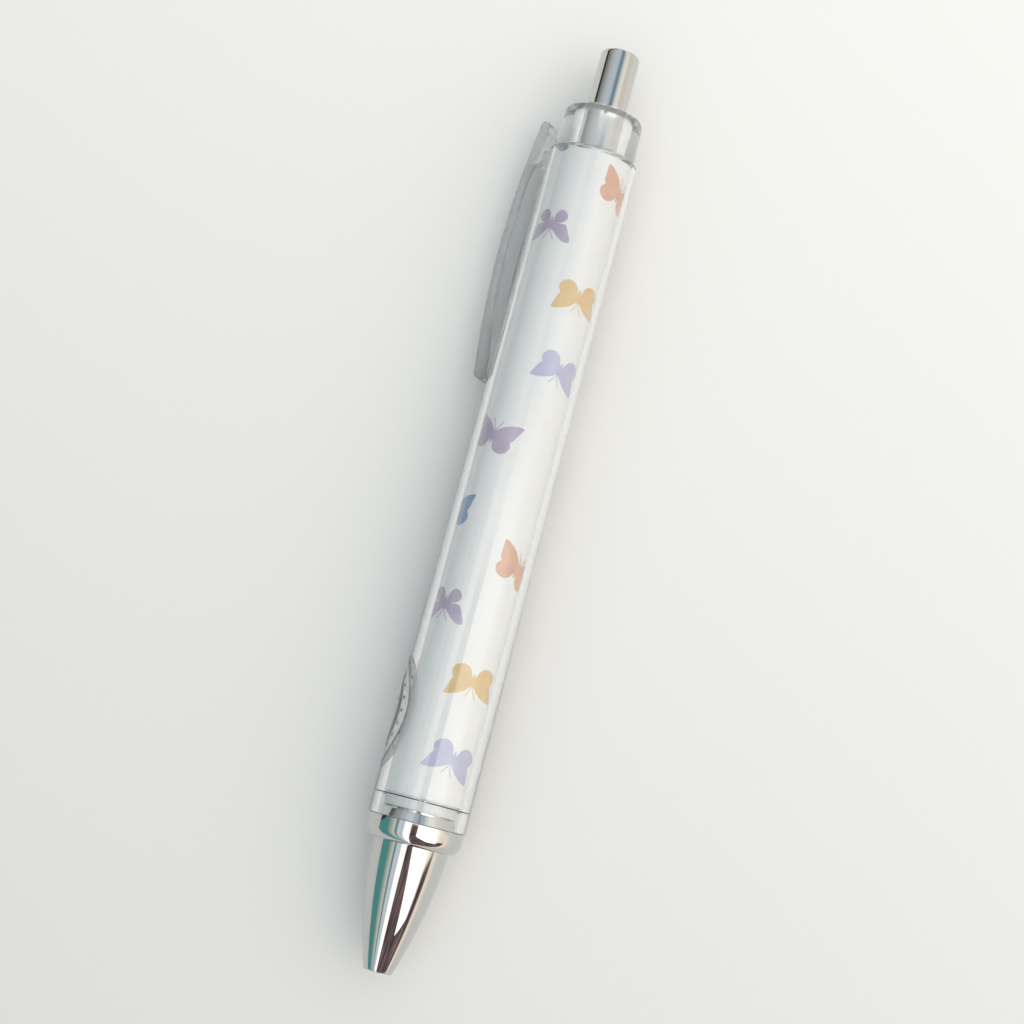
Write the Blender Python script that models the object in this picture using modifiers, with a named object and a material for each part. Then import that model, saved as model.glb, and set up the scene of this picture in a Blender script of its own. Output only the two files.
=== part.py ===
"""Retractable gel pen with a clear barrel, a paper sleeve and a chromed tip and button.

The pen lies on a surface with its tip towards +X and its clip low on the -Y side.
Every piece is drawn in pen space and then laid down by its parent empty. In pen space
Z is the pen's axis, from the tip's end at 0 up to the button, and X points at the clip.
Metres throughout.
"""

import math

import bmesh
import bpy
from mathutils import Matrix

MM = 0.001

# Clearances between pieces
SEAT_GAP = 0.3 * MM          # between faces that rest on each other
SLIDE_FIT = 0.08 * MM        # radial, between pieces that slide or turn in one another
SLEEVE_FIT = 0.1 * MM        # radial, between fixed pieces that fit in one another
STICKER_GAP = 0.03 * MM      # under a sticker

# Lengths along the pen
TIP_LENGTH = 21.3 * MM
BARREL_LENGTH = 101.1 * MM
COLLAR_HEIGHT = 7.0 * MM
BUTTON_SHOW = 10.0 * MM
BOSS_LENGTH = 1.4 * MM
TIP_SPIGOT_LENGTH = 7.3 * MM
HEAD_SPIGOT_LENGTH = 4.1 * MM
PRESS_STROKE = 6.0 * MM

# Radii, from the moving pieces out to the barrel
BUTTON_RADIUS = 3.0 * MM
REFILL_RADIUS = 3.0 * MM
RIB_CLEARANCE = 0.12 * MM
RIB_HEIGHT = 0.58 * MM
CAM_SLEEVE_WALL = 0.6 * MM
INNER_TUBE_WALL = 0.8 * MM
INNER_TUBE_LEDGE = 0.5 * MM
PAPER_AIR = 0.31 * MM
PAPER_THICKNESS = 0.15 * MM
BARREL_WALL_AT_TIP = 1.35 * MM
BARREL_WALL_AT_HEAD = 0.95 * MM
RIM_LEDGE = 0.55 * MM
COLLAR_TAPER = 0.25 * MM
COLLAR_ROUND = 0.8 * MM

# Tip cone
TIP_END_RADIUS = 2.05 * MM
ORIFICE_RADIUS = 1.25 * MM
CONE_BASE_RADIUS = 5.56 * MM
CONE_BULGE = 0.63 * MM
BEAD_LENGTH = 3.25 * MM
BEAD_ROUND = 1.55 * MM
BEAD_STEP = 0.1 * MM
SPRING_SEAT_DEPTH = 6.0 * MM
SPRING_POCKET_LENGTH = 7.2 * MM
SPRING_POCKET_RADIUS = 2.5 * MM

# Paper sleeve and sticker
PAPER_BARE_AT_TIP = 3.2 * MM
PAPER_BARE_AT_HEAD = 0.4 * MM
LABEL_RADIUS = 8.5 * MM
LABEL_FROM_BARREL_END = 14.4 * MM
LABEL_THICKNESS = 0.1 * MM

# Clip
CLIP_DROP_DEG = 27.0
CLIP_LENGTH = 40.6 * MM
CLIP_BELOW_COLLAR_TOP = 3.0 * MM
CLIP_WIDTH = 5.0 * MM
CLIP_THICKNESS = 1.5 * MM
CLIP_GAP = 2.13 * MM
CLIP_BOW = 1.55 * MM
CLIP_ROOT_LENGTH = 6.0 * MM
CLIP_ROOT_INSET = 0.9 * MM
CLIP_CORNER = 0.8 * MM
CLIP_FILLET = 1.4 * MM
FOOT_LENGTH = 11.8 * MM
FOOT_FLAT = 2.4 * MM
HINGE_BELOW_CLIP_TOP = 2.0 * MM

# Push button and its cam
BUTTON_ROUND = 0.7 * MM
BUTTON_WALL = 0.6 * MM
BUTTON_ROOF = 1.0 * MM
CAM_ROD_GRIP = 12.5 * MM
CAM_HEAD_LENGTH = 2.1 * MM
CAM_ROD_WALL = 0.42 * MM
CAM_STEP = 0.1 * MM
CROWN_TEETH = 8
CROWN_DEPTH = 0.7 * MM           # less on a thinner cam, so that the notches stay apart
NOTCH_REACH = 0.9              # how far in the notches may meet, as a share of the cam's bore
ROTOR_LENGTH = 3.7 * MM
RIB_COUNT = 4
ROTOR_RIB_WIDTH = 1.55 * MM
ROTOR_RIB_START = 0.2 * MM
ROTOR_RIB_LENGTH = 1.2 * MM
RIB_OVERLAP = 2.0 * MM
SLEEVE_RIB_WIDTH = 2.14 * MM
SLEEVE_BELOW_STROKE = 2.8 * MM

# Refill
BALL_RADIUS = 0.25 * MM
BALL_DEPTH = 2.0 * MM
BALL_FIT = 0.02 * MM
POINT_LIP_RADIUS = 0.3 * MM
POINT_CONE_LENGTH = 3.1 * MM
POINT_RADIUS = 1.15 * MM
POINT_LENGTH = 12.4 * MM
POINT_TANG_RADIUS = 0.85 * MM
POINT_TANG_LENGTH = 4.2 * MM
INK_CHANNEL_RADIUS = 0.4 * MM
BALL_SEAT_CHANNEL = 0.12 * MM
HOLDER_NOSE_RADIUS = 1.6 * MM
HOLDER_NOSE_LENGTH = 5.2 * MM
HOLDER_FLANGE_LENGTH = 2.7 * MM
HOLDER_PLUG_LENGTH = 5.3 * MM
REFILL_WALL = 0.6 * MM
INK_LENGTH = 49.7 * MM
FOLLOWER_LENGTH = 6.7 * MM
FOLLOWER_SKIN = 1.7 * MM
FLOAT_RADIUS = 0.9 * MM
FLOAT_LENGTH = 6.2 * MM
TAIL_CAP_LENGTH = 0.9 * MM
TAIL_INSERT_LENGTH = 3.6 * MM
TAIL_VENT_RADIUS = 0.4 * MM

# Return spring
SPRING_RADIUS = 2.0 * MM
SPRING_WIRE = 0.35 * MM
SPRING_TURNS = 9
SPRING_POINTS_A_TURN = 14

# Facets
ROUND_STEPS = 40
FINE_STEPS = 20
EDGE = 0.15 * MM

# Stations along the axis, worked out from the lengths
BARREL_START = TIP_LENGTH + SEAT_GAP
BARREL_END = BARREL_START + BARREL_LENGTH
COLLAR_START = BARREL_END + SEAT_GAP
COLLAR_END = COLLAR_START + COLLAR_HEIGHT
OVERALL_LENGTH = COLLAR_END + BUTTON_SHOW
BOSS_END = TIP_LENGTH + BOSS_LENGTH
TUBE_START = BOSS_END + SEAT_GAP
TUBE_END = BARREL_END - SEAT_GAP
TIP_SPIGOT_END = BOSS_END + TIP_SPIGOT_LENGTH
HEAD_SPIGOT_START = COLLAR_START - HEAD_SPIGOT_LENGTH
BUTTON_START = HEAD_SPIGOT_START + SEAT_GAP
CAM_HEAD_END = BUTTON_START - SEAT_GAP
CAM_START = CAM_HEAD_END - CAM_HEAD_LENGTH
ROTOR_START = CAM_START - SEAT_GAP - ROTOR_LENGTH
REFILL_END = ROTOR_START - SEAT_GAP
SLEEVE_END = HEAD_SPIGOT_START - SEAT_GAP
ROTOR_RIB_END = ROTOR_START + ROTOR_RIB_START + ROTOR_RIB_LENGTH
SLEEVE_RIB_START = ROTOR_RIB_END - RIB_OVERLAP
SLEEVE_START = ROTOR_START - PRESS_STROKE - SLEEVE_BELOW_STROKE
POINT_START = BALL_DEPTH + 0.5 * BALL_RADIUS
HOLDER_START = POINT_START + POINT_LENGTH + SEAT_GAP
FLANGE_START = HOLDER_START + HOLDER_NOSE_LENGTH
FLANGE_END = FLANGE_START + HOLDER_FLANGE_LENGTH
REFILL_TUBE_START = FLANGE_END + SEAT_GAP
REFILL_TUBE_END = REFILL_END - TAIL_CAP_LENGTH - SEAT_GAP
HOLDER_END = FLANGE_END + HOLDER_PLUG_LENGTH
INK_START = HOLDER_END + SEAT_GAP
FOLLOWER_START = INK_START + INK_LENGTH + SEAT_GAP
FLOAT_START = FOLLOWER_START + FOLLOWER_SKIN + SEAT_GAP
CLIP_TOP = COLLAR_END - CLIP_BELOW_COLLAR_TOP
CLIP_END = CLIP_TOP - CLIP_LENGTH
HINGE_STATION = CLIP_TOP - HINGE_BELOW_CLIP_TOP
LABEL_STATION = BARREL_START + LABEL_FROM_BARREL_END

# Radii worked out from the walls
RIB_INNER_RADIUS = max(BUTTON_RADIUS, REFILL_RADIUS) + RIB_CLEARANCE
SLEEVE_BORE = RIB_INNER_RADIUS + RIB_HEIGHT
SLEEVE_RADIUS = SLEEVE_BORE + CAM_SLEEVE_WALL
TUBE_END_BORE = SLEEVE_RADIUS + SLEEVE_FIT
TUBE_RADIUS = TUBE_END_BORE + INNER_TUBE_WALL
PAPER_INNER_RADIUS = TUBE_RADIUS + PAPER_AIR
PAPER_RADIUS = PAPER_INNER_RADIUS + PAPER_THICKNESS
BORE_RADIUS = PAPER_RADIUS + SLEEVE_FIT
BARREL_RADIUS_AT_TIP = BORE_RADIUS + BARREL_WALL_AT_TIP
BARREL_RADIUS_AT_HEAD = BORE_RADIUS + BARREL_WALL_AT_HEAD
COLLAR_RADIUS = BARREL_RADIUS_AT_HEAD - RIM_LEDGE
BUTTON_HOLE_RADIUS = BUTTON_RADIUS + SLIDE_FIT
CAM_REACH = SLEEVE_BORE - SLIDE_FIT
CAM_ROD_RADIUS = BUTTON_RADIUS - BUTTON_WALL - SLIDE_FIT
CAM_TUBE_RADIUS = CAM_ROD_RADIUS - CAM_ROD_WALL
CAM_RADIUS = BUTTON_RADIUS - CAM_STEP
DEEPEST_NOTCH = NOTCH_REACH * CAM_TUBE_RADIUS * math.tan(math.pi / CROWN_TEETH)
NOTCH_DEPTH = min(CROWN_DEPTH, DEEPEST_NOTCH)
REFILL_BORE = REFILL_RADIUS - REFILL_WALL
REFILL_FILL_RADIUS = REFILL_BORE - SLIDE_FIT
TIP_BORE = REFILL_RADIUS + SEAT_GAP
CLIP_TURN = math.radians(CLIP_DROP_DEG)


def barrel_radius(station):
    """Outer radius of the tapering barrel at a station."""
    share = (station - BARREL_START) / BARREL_LENGTH
    return BARREL_RADIUS_AT_TIP + share * (BARREL_RADIUS_AT_HEAD - BARREL_RADIUS_AT_TIP)


def label_half_length(angle):
    """Half the sticker's length along the pen, at an angle round the barrel from its centre."""
    across = barrel_radius(LABEL_STATION) * angle
    return math.sqrt(max(LABEL_RADIUS ** 2 - across ** 2, 0.0))


# The clip's outer face is a bow over its whole length, highest half way.
CLIP_MIDDLE = 0.5 * (CLIP_TOP + CLIP_END)
CLIP_INNER_APEX = barrel_radius(CLIP_MIDDLE) + CLIP_GAP
CLIP_OUTER_APEX = CLIP_INNER_APEX + CLIP_THICKNESS
CLIP_ROOT_RADIUS = barrel_radius(BARREL_END) + CLIP_ROOT_INSET
HINGE_RADIUS = CLIP_ROOT_RADIUS - 0.5 * SEAT_GAP


def clip_fall(station):
    """How far the bow has fallen from its highest point."""
    return CLIP_BOW * ((station - CLIP_MIDDLE) / (0.5 * CLIP_LENGTH)) ** 2


# How the pen lies: the sticker's lowest edge and the barrel's widest ring are what it rests on.
DOWN_ANGLE = 0.5 * math.pi - CLIP_TURN
LABEL_LOW_STATION = LABEL_STATION - label_half_length(DOWN_ANGLE)
LABEL_LOW_RADIUS = barrel_radius(LABEL_LOW_STATION) + STICKER_GAP + LABEL_THICKNESS
AXIS_HEIGHT = max(BARREL_RADIUS_AT_TIP, LABEL_LOW_RADIUS)
CLIP_REACH = CLIP_OUTER_APEX * math.cos(CLIP_TURN) + 0.5 * CLIP_WIDTH * math.sin(CLIP_TURN)
AXIS_Y = 0.5 * (CLIP_REACH - BARREL_RADIUS_AT_TIP)


# ---- Scene, materials and shapes ----------------------------------------

for old in list(bpy.data.objects):
    bpy.data.objects.remove(old, do_unlink=True)

pen_parts = bpy.data.collections.new("gel_pen")
pen_cutters = bpy.data.collections.new("cutters")
bpy.context.scene.collection.children.link(pen_parts)
bpy.context.scene.collection.children.link(pen_cutters)

pen_axis = bpy.data.objects.new("pen_axis", None)
pen_parts.objects.link(pen_axis)
lay_down = Matrix((
    (0.0, 0.0, -1.0, 0.5 * OVERALL_LENGTH),
    (-math.cos(CLIP_TURN), -math.sin(CLIP_TURN), 0.0, AXIS_Y),
    (-math.sin(CLIP_TURN), math.cos(CLIP_TURN), 0.0, AXIS_HEIGHT),
    (0.0, 0.0, 0.0, 1.0),
))
pen_axis.matrix_world = lay_down


def finish(name, colour, roughness, metallic=0.0, transmission=0.0):
    """A Principled material in one colour."""
    made = bpy.data.materials.new(name)
    made.use_nodes = True
    shader = made.node_tree.nodes["Principled BSDF"]
    shader.inputs["Base Color"].default_value = (*colour, 1.0)
    shader.inputs["Roughness"].default_value = roughness
    shader.inputs["Metallic"].default_value = metallic
    shader.inputs["Transmission Weight"].default_value = transmission
    return made


chrome = finish("chrome_plated_abs", (0.80, 0.80, 0.79), 0.06, metallic=1.0)
clear_plastic = finish("clear_polystyrene", (0.96, 0.97, 0.97), 0.04, transmission=1.0)
milky_plastic = finish("natural_polypropylene", (0.84, 0.86, 0.86), 0.35, transmission=0.5)
white_plastic = finish("white_acetal", (0.85, 0.85, 0.83), 0.4)
paper = finish("coated_paper", (0.88, 0.88, 0.86), 0.6)
sticker = finish("clear_film", (0.86, 0.88, 0.90), 0.2, transmission=0.6)
steel = finish("spring_steel", (0.62, 0.62, 0.60), 0.25, metallic=1.0)
nickel_silver = finish("nickel_silver", (0.70, 0.67, 0.60), 0.22, metallic=1.0)
carbide = finish("tungsten_carbide", (0.25, 0.25, 0.26), 0.3, metallic=1.0)
ink = finish("black_gel_ink", (0.01, 0.01, 0.012), 0.3)
grease = finish("clear_grease", (0.88, 0.85, 0.74), 0.15, transmission=0.8)


def place(made, name, material, at=(0.0, 0.0, 0.0)):
    """Name an object, give it its material and put it on the pen."""
    made.name = name
    made.data.materials.append(material)
    pen_parts.objects.link(made)
    made.parent = pen_axis
    made.location = at
    return made


def as_cutter(made):
    """Keep a shape that only cuts or joins out of the model."""
    made.hide_render = True
    made.display_type = "WIRE"
    pen_cutters.objects.link(made)
    made.parent = pen_axis
    return made


def quarter(start, end, bulge_first="radius", points=5):
    """Points of a quarter ellipse between two (radius, station) points, both ends left out.

    The curve leaves the start along the radius or along the station.
    """
    inside = []
    for index in range(1, points):
        angle = 0.5 * math.pi * index / points
        quick = math.sin(angle)
        slow = 1.0 - math.cos(angle)
        across, along = (quick, slow) if bulge_first == "radius" else (slow, quick)
        radius = start[0] + (end[0] - start[0]) * across
        station = start[1] + (end[1] - start[1]) * along
        inside.append((radius, station))
    return inside


def turned(name, outline, material, steps=ROUND_STEPS, at=0.0):
    """A turned piece: its half outline, down the outside and up the inside, spun round the axis.

    Stations in the outline are pen stations; the object's origin sits at the station given.
    """
    mesh = bpy.data.meshes.new(name)
    shape = bmesh.new()
    points = [shape.verts.new((radius, 0.0, station - at)) for radius, station in outline]
    for first, second in zip(points, points[1:]):
        shape.edges.new((first, second))
    on_axis = outline[0][0] == 0.0 and outline[-1][0] == 0.0
    if not on_axis:
        shape.edges.new((points[-1], points[0]))
    shape.to_mesh(mesh)
    shape.free()
    made = bpy.data.objects.new(name, mesh)
    spin = made.modifiers.new("spin", "SCREW")
    spin.axis = "Z"
    spin.angle = 2.0 * math.pi
    spin.steps = steps
    spin.render_steps = steps
    spin.use_merge_vertices = True
    spin.merge_threshold = 1e-6
    spin.use_smooth_shade = True
    return place(made, name, material, (0.0, 0.0, at))


def blocks_round_axis(name, count, first_angle, radii, width, stations):
    """One mesh of equal blocks set round the axis, for ribs."""
    mesh = bpy.data.meshes.new(name)
    shape = bmesh.new()
    size = Matrix.Diagonal((radii[1] - radii[0], width, stations[1] - stations[0], 1.0))
    centre = Matrix.Translation((0.5 * (radii[0] + radii[1]), 0.0, 0.5 * (stations[0] + stations[1])))
    for index in range(count):
        turn = Matrix.Rotation(first_angle + 2.0 * math.pi * index / count, 4, "Z")
        bmesh.ops.create_cube(shape, size=1.0, matrix=turn @ centre @ size)
    shape.to_mesh(mesh)
    shape.free()
    return as_cutter(bpy.data.objects.new(name, mesh))


def crown_notches(name, station):
    """Bars on edge set out from the axis, whose corners cut V notches round the end of a tube."""
    mesh = bpy.data.meshes.new(name)
    shape = bmesh.new()
    side = NOTCH_DEPTH * math.sqrt(2.0)
    clear_of_each_other = NOTCH_DEPTH / math.tan(math.pi / CROWN_TEETH)
    bar_start = 0.5 * (clear_of_each_other + CAM_TUBE_RADIUS)
    bar_length = 2.0 * CAM_RADIUS
    size = Matrix.Diagonal((bar_length, side, side, 1.0))
    on_edge = Matrix.Rotation(0.25 * math.pi, 4, "X")
    centre = Matrix.Translation((bar_start + 0.5 * bar_length, 0.0, station))
    for index in range(CROWN_TEETH):
        turn = Matrix.Rotation(math.pi * (2 * index + 1) / CROWN_TEETH, 4, "Z")
        bmesh.ops.create_cube(shape, size=1.0, matrix=turn @ centre @ on_edge @ size)
    shape.to_mesh(mesh)
    shape.free()
    return as_cutter(bpy.data.objects.new(name, mesh))


def combine(target, tool, operation):
    """Join a tool to a piece, cut it away, or keep only what both hold."""
    change = target.modifiers.new(tool.name, "BOOLEAN")
    change.operation = operation
    change.object = tool
    change.solver = "EXACT"


def drawn(name, outline, thickness, material, at, turn):
    """A flat outline, as thick as given, placed and turned on the pen."""
    flat = bpy.data.curves.new(name, "CURVE")
    flat.dimensions = "2D"
    flat.fill_mode = "BOTH"
    flat.extrude = 0.5 * thickness
    edge = flat.splines.new("POLY")
    edge.points.add(len(outline) - 1)
    for point, (across, along) in zip(edge.points, outline):
        point.co = (across, along, 0.0, 1.0)
    edge.use_cyclic_u = True
    made = place(bpy.data.objects.new(name, flat), name, material, at)
    made.rotation_euler = turn
    return made


# ---- Casing ---------------------------------------------------------------

def tip_cone():
    """Chromed cone with a bead at its base, a boss in the barrel and a spigot in the inner tube."""
    bead_start = TIP_LENGTH - BEAD_LENGTH
    cone_points = 12
    outline = [(TUBE_END_BORE - SLEEVE_FIT, TIP_SPIGOT_END)]
    outline.append((TUBE_END_BORE - SLEEVE_FIT, BOSS_END))
    outline.append((TUBE_RADIUS + EDGE, BOSS_END))
    outline.append((BORE_RADIUS - SLEEVE_FIT, TIP_LENGTH))
    outline.append((BARREL_RADIUS_AT_TIP - SLEEVE_FIT, TIP_LENGTH))
    bead_top = (BARREL_RADIUS_AT_TIP - EDGE, bead_start + BEAD_ROUND)
    bead_foot = (CONE_BASE_RADIUS + BEAD_STEP, bead_start)
    outline.append(bead_top)
    outline += quarter(bead_top, bead_foot, "station")
    outline.append(bead_foot)
    for index in range(cone_points, -1, -1):
        share = index / cone_points
        straight = TIP_END_RADIUS + (CONE_BASE_RADIUS - TIP_END_RADIUS) * share
        bulge = CONE_BULGE * 4.0 * share * (1.0 - share)
        outline.append((straight + bulge, bead_start * share))
    outline.append((ORIFICE_RADIUS, 0.0))
    outline.append((ORIFICE_RADIUS, SPRING_SEAT_DEPTH))
    outline.append((SPRING_POCKET_RADIUS, SPRING_SEAT_DEPTH))
    pocket_end = SPRING_SEAT_DEPTH + SPRING_POCKET_LENGTH
    outline.append((SPRING_POCKET_RADIUS, pocket_end - (TIP_BORE - SPRING_POCKET_RADIUS)))
    outline.append((TIP_BORE, pocket_end))
    outline.append((TIP_BORE, TIP_SPIGOT_END))
    return turned("tip_cone", outline, chrome)


def outer_barrel():
    """Clear thick tube, straight inside and tapering outside towards the head."""
    outline = [
        (BARREL_RADIUS_AT_HEAD - EDGE, BARREL_END),
        (BARREL_RADIUS_AT_HEAD, BARREL_END - EDGE),
        (BARREL_RADIUS_AT_TIP, BARREL_START + EDGE),
        (BARREL_RADIUS_AT_TIP - EDGE, BARREL_START),
        (BORE_RADIUS, BARREL_START),
        (BORE_RADIUS, BARREL_END),
    ]
    return turned("outer_barrel", outline, clear_plastic)


def paper_insert():
    """Printed paper rolled into a tube behind the clear barrel."""
    low = BARREL_START + PAPER_BARE_AT_TIP
    high = BARREL_END - PAPER_BARE_AT_HEAD
    outline = [(PAPER_RADIUS, high), (PAPER_RADIUS, low)]
    outline += [(PAPER_INNER_RADIUS, low), (PAPER_INNER_RADIUS, high)]
    return turned("paper_insert", outline, paper)


def inner_tube():
    """Tube that ties the tip to the head, with a wider bore for each of them at its ends."""
    ledge_bore = TUBE_END_BORE - INNER_TUBE_LEDGE
    low_ledge = TIP_SPIGOT_END + SEAT_GAP
    high_ledge = SLEEVE_START - SEAT_GAP
    outline = [(TUBE_RADIUS, TUBE_END), (TUBE_RADIUS, TUBE_START)]
    outline += [(TUBE_END_BORE, TUBE_START), (TUBE_END_BORE, low_ledge)]
    outline += [(ledge_bore, low_ledge), (ledge_bore, high_ledge)]
    outline += [(TUBE_END_BORE, high_ledge), (TUBE_END_BORE, TUBE_END)]
    return turned("inner_tube", outline, milky_plastic)


def head_cap():
    """Clear collar on the barrel's rim, with the spigot that guides the button and the clip's post."""
    collar_top = COLLAR_RADIUS - COLLAR_TAPER
    round_start = (collar_top - COLLAR_ROUND, COLLAR_END)
    round_end = (collar_top, COLLAR_END - COLLAR_ROUND)
    spigot = TUBE_END_BORE - SLEEVE_FIT
    outline = [round_start]
    outline += quarter(round_start, round_end, "radius", 4)
    outline.append(round_end)
    outline.append((COLLAR_RADIUS, COLLAR_START))
    outline.append((spigot, COLLAR_START))
    outline.append((spigot, HEAD_SPIGOT_START))
    outline.append((BUTTON_HOLE_RADIUS, HEAD_SPIGOT_START))
    outline.append((BUTTON_HOLE_RADIUS, COLLAR_END))
    made = turned("head_cap", outline, clear_plastic)
    wall_middle = 0.5 * (BUTTON_HOLE_RADIUS + collar_top)
    reach = (wall_middle, CLIP_ROOT_RADIUS - SEAT_GAP)
    heights = (COLLAR_START + EDGE, CLIP_TOP)
    post = blocks_round_axis("clip_post", 1, 0.0, reach, CLIP_WIDTH, heights)
    combine(made, post, "UNION")
    return made


def cam_sleeve():
    """Sleeve under the head whose inner ribs guide and hold the cams."""
    outline = [(SLEEVE_RADIUS, SLEEVE_END), (SLEEVE_RADIUS, SLEEVE_START)]
    outline += [(SLEEVE_BORE, SLEEVE_START), (SLEEVE_BORE, SLEEVE_END)]
    made = turned("cam_sleeve", outline, white_plastic)
    into_wall = SLEEVE_BORE + 0.5 * CAM_SLEEVE_WALL
    radii = (RIB_INNER_RADIUS, into_wall)
    half_pitch = math.pi / RIB_COUNT
    stations = (SLEEVE_RIB_START, SLEEVE_END - EDGE)
    ribs = blocks_round_axis("sleeve_ribs", RIB_COUNT, half_pitch, radii, SLEEVE_RIB_WIDTH, stations)
    combine(made, ribs, "UNION")
    return made


def round_label():
    """Round clear sticker wrapped round the barrel, in line with the clip."""
    margin = 1.0 * MM
    low = LABEL_STATION - LABEL_RADIUS - margin
    high = LABEL_STATION + LABEL_RADIUS + margin
    under = [barrel_radius(station) + STICKER_GAP for station in (low, high)]
    outline = [(under[1] + LABEL_THICKNESS, high), (under[0] + LABEL_THICKNESS, low)]
    outline += [(under[0], low), (under[1], high)]
    made = turned("round_label", outline, sticker)

    mesh = bpy.data.meshes.new("label_outline")
    shape = bmesh.new()
    wrap_radius = barrel_radius(LABEL_STATION)
    corners = []
    for index in range(ROUND_STEPS):
        turn = 2.0 * math.pi * index / ROUND_STEPS
        side = wrap_radius * math.sin(LABEL_RADIUS * math.cos(turn) / wrap_radius)
        corners.append(shape.verts.new((0.0, side, LABEL_STATION + LABEL_RADIUS * math.sin(turn))))
    face = shape.faces.new(corners)
    swept = bmesh.ops.extrude_face_region(shape, geom=[face])
    outward = [item for item in swept["geom"] if isinstance(item, bmesh.types.BMVert)]
    bmesh.ops.translate(shape, verts=outward, vec=(2.0 * wrap_radius, 0.0, 0.0))
    bmesh.ops.recalc_face_normals(shape, faces=shape.faces)
    shape.to_mesh(mesh)
    shape.free()
    combine(made, as_cutter(bpy.data.objects.new("label_outline", mesh)), "INTERSECT")
    return made


def pocket_clip():
    """Bowed clear clip with a root block on the head's post and a ramped foot near the barrel."""
    def outer(station):
        return CLIP_OUTER_APEX - clip_fall(station)

    def inner(station):
        return CLIP_INNER_APEX - clip_fall(station)

    root_low = CLIP_TOP - CLIP_ROOT_LENGTH
    foot_radius = barrel_radius(CLIP_END) + SEAT_GAP
    end_round = 0.5 * (outer(CLIP_END) - foot_radius)
    ramp_top = CLIP_END + FOOT_LENGTH
    ramp_low = CLIP_END + end_round + FOOT_FLAT
    outline = [(CLIP_ROOT_RADIUS, root_low), (CLIP_ROOT_RADIUS, CLIP_TOP)]
    top_start = (outer(CLIP_TOP) - CLIP_CORNER, CLIP_TOP)
    top_end = (outer(CLIP_TOP - CLIP_CORNER), CLIP_TOP - CLIP_CORNER)
    outline.append(top_start)
    outline += quarter(top_start, top_end, "radius", 4)
    outline.append(top_end)
    bow_points = 12
    bow_low = CLIP_END + end_round
    for index in range(1, bow_points + 1):
        station = top_end[1] + (bow_low - top_end[1]) * index / bow_points
        outline.append((outer(station), station))
    end_middle = (foot_radius + end_round, CLIP_END)
    outline += quarter(outline[-1], end_middle, "station", 4)
    outline.append(end_middle)
    end_inner = (foot_radius, bow_low)
    outline += quarter(end_middle, end_inner, "radius", 4)
    outline.append(end_inner)
    outline.append((foot_radius, ramp_low))
    arm_points = 6
    arm_high = root_low - CLIP_FILLET
    for index in range(arm_points + 1):
        station = ramp_top + (arm_high - ramp_top) * index / arm_points
        outline.append((inner(station), station))
    outline += quarter(outline[-1], outline[0], "station", 4)
    local = [(radius - HINGE_RADIUS, station - HINGE_STATION) for radius, station in outline]
    hinge = (HINGE_RADIUS, 0.0, HINGE_STATION)
    upright = (0.5 * math.pi, 0.0, 0.0)
    return drawn("pocket_clip", local, CLIP_WIDTH, clear_plastic, hinge, upright)


# ---- Push mechanism --------------------------------------------------------

def push_button():
    """Chromed cap that slides in the collar, hollow from below."""
    round_start = (BUTTON_RADIUS - BUTTON_ROUND, OVERALL_LENGTH)
    round_end = (BUTTON_RADIUS, OVERALL_LENGTH - BUTTON_ROUND)
    bore = BUTTON_RADIUS - BUTTON_WALL
    bore_end = BUTTON_START + CAM_ROD_GRIP + BUTTON_ROOF
    outline = [(0.0, OVERALL_LENGTH), round_start]
    outline += quarter(round_start, round_end, "radius")
    outline.append(round_end)
    outline += [(BUTTON_RADIUS, BUTTON_START), (bore, BUTTON_START)]
    outline += [(bore, bore_end), (0.0, bore_end)]
    return turned("push_button", outline, chrome, at=BUTTON_START)


def thrust_cam():
    """Plunger gripped by the button, with a toothed crown and splines that keep it from turning."""
    rod_end = BUTTON_START + CAM_ROD_GRIP
    outline = [(0.0, rod_end), (CAM_ROD_RADIUS - EDGE, rod_end), (CAM_ROD_RADIUS, rod_end - EDGE)]
    outline += [(CAM_ROD_RADIUS, CAM_HEAD_END), (CAM_RADIUS, CAM_HEAD_END)]
    outline += [(CAM_RADIUS, CAM_START), (CAM_TUBE_RADIUS, CAM_START)]
    outline += [(CAM_TUBE_RADIUS, CAM_HEAD_END), (0.0, CAM_HEAD_END + CAM_TUBE_RADIUS)]
    made = turned("thrust_cam", outline, white_plastic, at=CAM_START)
    reach = (0.5 * (CAM_TUBE_RADIUS + CAM_RADIUS), rib_reach(ROTOR_RIB_WIDTH))
    stations = (CAM_START + NOTCH_DEPTH, CAM_HEAD_END - SEAT_GAP)
    splines = blocks_round_axis("cam_splines", RIB_COUNT, 0.0, reach, ROTOR_RIB_WIDTH, stations)
    combine(made, splines, "UNION")
    combine(made, crown_notches("thrust_notches", CAM_START), "DIFFERENCE")
    return made


def rib_reach(width):
    """How far out a flat-faced rib goes when its corners just clear the sleeve's bore."""
    return math.sqrt(CAM_REACH ** 2 - (0.5 * width) ** 2)


def rotor_cam():
    """Cam that turns a step at each press, with four ribs and a toothed crown."""
    end = ROTOR_START + ROTOR_LENGTH
    outline = [(CAM_RADIUS, end), (CAM_RADIUS, ROTOR_START)]
    outline += [(CAM_TUBE_RADIUS, ROTOR_START), (CAM_TUBE_RADIUS, end)]
    made = turned("rotor_cam", outline, white_plastic, at=ROTOR_START)
    reach = (0.5 * (CAM_TUBE_RADIUS + CAM_RADIUS), rib_reach(ROTOR_RIB_WIDTH))
    stations = (ROTOR_START + ROTOR_RIB_START, ROTOR_RIB_END)
    ribs = blocks_round_axis("rotor_ribs", RIB_COUNT, 0.0, reach, ROTOR_RIB_WIDTH, stations)
    combine(made, ribs, "UNION")
    combine(made, crown_notches("rotor_notches", end), "DIFFERENCE")
    return made


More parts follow.
